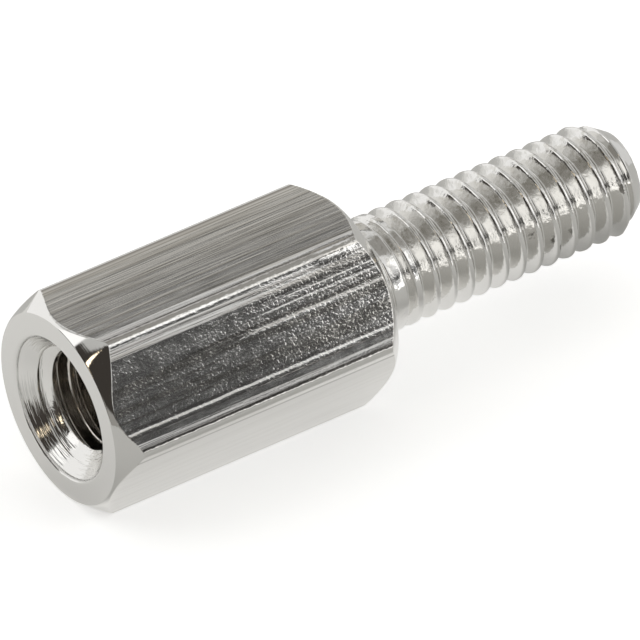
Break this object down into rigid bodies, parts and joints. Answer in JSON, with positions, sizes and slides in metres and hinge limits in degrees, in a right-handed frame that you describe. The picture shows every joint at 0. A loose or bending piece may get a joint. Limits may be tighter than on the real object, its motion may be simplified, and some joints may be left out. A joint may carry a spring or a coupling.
{
  "type": "threaded hexagonal standoff",
  "caption": "Male-female hexagonal threaded standoff: a six-sided spacer with a countersunk tapped hole in one end and a threaded stud on the other.",
  "frame": {"origin": "on the axis, in the shoulder face that the stud stands out of", "axes": "+X along the axis, out of the end of the stud; the tapped end faces -X; one of the six flats faces down to -Z, and the opposite flat faces up to +Z"},
  "size_m": [0.0161, 0.0058, 0.005],
  "materials": {
    "plated_brass": "bright nickel plating over turned and drawn brass"
  },
  "bodies": {
    "root": {"standoff": "plated_brass"}
  },
  "joints": []
}
